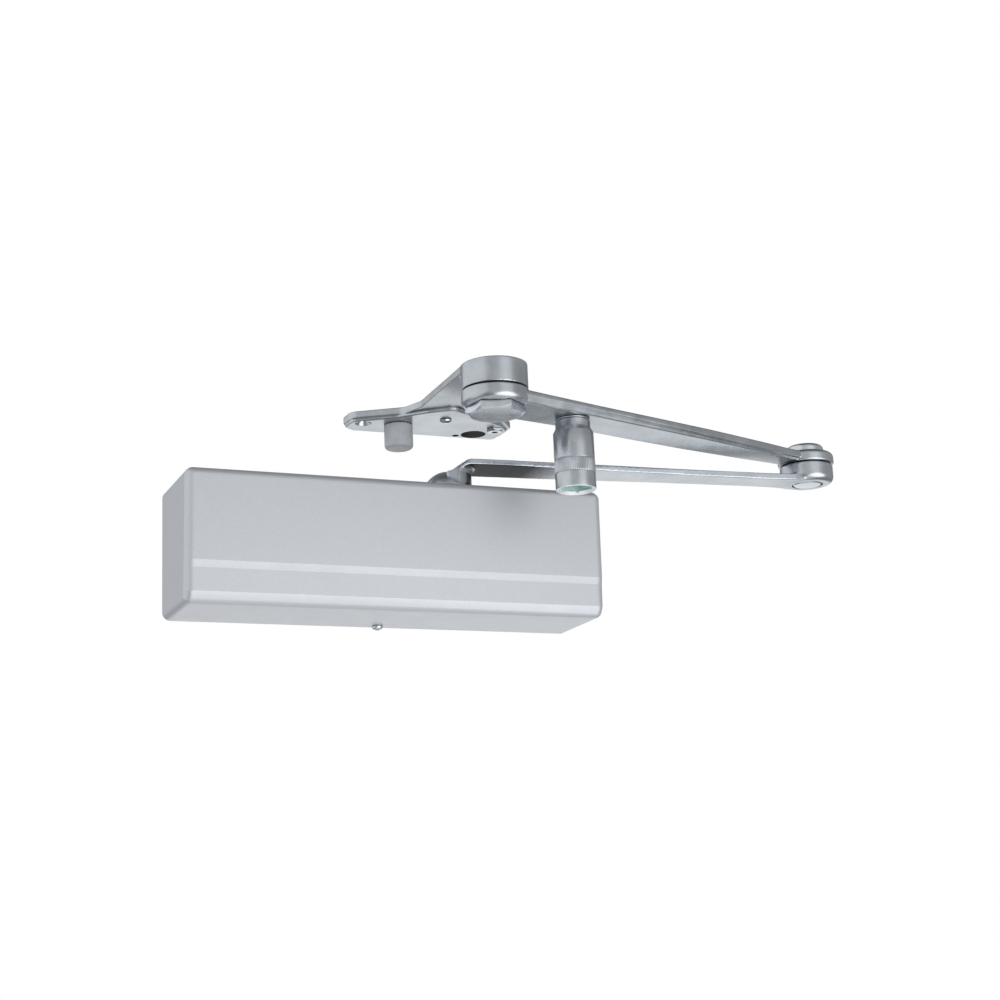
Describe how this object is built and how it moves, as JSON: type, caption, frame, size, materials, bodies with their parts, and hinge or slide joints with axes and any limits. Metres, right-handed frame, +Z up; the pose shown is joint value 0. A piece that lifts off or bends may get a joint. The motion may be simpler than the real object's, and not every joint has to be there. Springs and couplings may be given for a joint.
{
  "type": "door closer",
  "caption": "Surface door closer: rack-and-pinion hydraulic body in a silver cover, folding parallel arm, soffit bracket with rubber stop, and a hold-open knob.",
  "frame": {"origin": "middle of the closer body's mounting face, on the face of the door", "axes": "+X along the door from the spring end towards the arm's elbow, +Y into the door out of the mounting face, +Z up"},
  "size_m": [0.5372, 0.1831, 0.1654],
  "materials": {
    "silver_paint": "satin silver paint",
    "cast_aluminium": "as cast",
    "satin_zinc": "satin plated forging",
    "bright_steel": "bright plated",
    "plated_knob": "turned and plated",
    "spring_steel": "dark oiled",
    "grey_rubber": "matte",
    "black_seal": "matte",
    "bearing_bronze": "machined"
  },
  "bodies": {
    "closer": {"closer_body": "cast_aluminium", "cover": "silver_paint", "cover_screw": "bright_steel", "head_end_cap": "cast_aluminium", "spring_end_cap": "cast_aluminium", "head_cap_seal": "black_seal", "spring_cap_seal": "black_seal", "spring_seat": "bright_steel", "closing_spring": "spring_steel", "upper_bearing": "bright_steel", "lower_bearing": "bright_steel", "upper_shaft_seal": "black_seal", "lower_shaft_seal": "black_seal", "upper_bearing_nut": "bright_steel", "lower_bearing_nut": "bright_steel"},
    "piston": {"rack_piston": "cast_aluminium", "check_valve_ball": "bright_steel"},
    "arm": {"pinion_shaft": "bright_steel", "main_arm": "satin_zinc", "hub_washer": "bright_steel", "hub_screw": "bright_steel", "elbow_pin": "bright_steel", "elbow_cap": "bright_steel"},
    "forearm": {"forearm": "satin_zinc", "elbow_bush": "bearing_bronze", "pivot_bush": "bearing_bronze", "knob_stud": "plated_knob", "knob_nut": "bright_steel"},
    "bracket": {"soffit_bracket": "satin_zinc", "bracket_screw": "bright_steel", "threaded_insert": "bright_steel", "bumper": "grey_rubber", "bumper_stud": "bright_steel", "pivot_bolt": "bright_steel", "pivot_washer": "bearing_bronze"},
    "knob": {"hold_open_knob": "plated_knob"},
    "adjuster": {"spring_adjuster": "bright_steel"},
    "sweep": {"sweep_valve": "bearing_bronze"},
    "latch": {"latch_valve": "bearing_bronze"},
    "backcheck": {"backcheck_valve": "bearing_bronze"}
  },
  "joints": [
    {"name": "main_arm_turn", "type": "hinge", "parent": "closer", "child": "arm", "pos_m": [0.053, -0.035, 0], "axis": [0, 0, 1], "range_deg": [-122, 0], "stiffness_Nm_per_rad": 8, "springref_deg": 45.84},
    {"name": "elbow_fold", "type": "hinge", "parent": "arm", "child": "forearm", "pos_m": [0.3537, -0.0686, 0.083], "axis": [0, 0, 1], "range_deg": [-1, 99]},
    {"name": "bracket_swivel", "type": "hinge", "parent": "forearm", "child": "bracket", "pos_m": [0.0427, -0.1587, 0.09], "axis": [0, 0, 1], "range_deg": [-71.5, 1]},
    {"name": "piston_slide", "type": "slide", "parent": "closer", "child": "piston", "axis": [1, 0, 0], "range_m": [-0.0245, 0.0005], "deforming": ["closing_spring"]},
    {"name": "knob_turn", "type": "hinge", "parent": "forearm", "child": "knob", "pos_m": [0.1109, -0.141, 0.05], "axis": [0, 0, 1], "range_deg": [0, 180]},
    {"name": "adjuster_turn", "type": "hinge", "parent": "closer", "child": "adjuster", "pos_m": [-0.14, -0.035, 0], "axis": [1, 0, 0], "continuous": true},
    {"name": "sweep_valve_turn", "type": "hinge", "parent": "closer", "child": "sweep", "pos_m": [0.1372, -0.035, 0.0125], "axis": [1, 0, 0], "range_deg": [-90, 270]},
    {"name": "latch_valve_turn", "type": "hinge", "parent": "closer", "child": "latch", "pos_m": [0.1372, -0.04583, -0.00625], "axis": [1, 0, 0], "range_deg": [-90, 270]},
    {"name": "backcheck_valve_turn", "type": "hinge", "parent": "closer", "child": "backcheck", "pos_m": [0.1372, -0.02417, -0.00625], "axis": [1, 0, 0], "range_deg": [-90, 270]}
  ],
  "couplings": [
    {"joint": "elbow_fold", "follows": "main_arm_turn", "ratio": -0.795},
    {"joint": "bracket_swivel", "follows": "main_arm_turn", "ratio": 0.576},
    {"joint": "piston_slide", "follows": "main_arm_turn", "m_per_rad": 0.011}
  ]
}
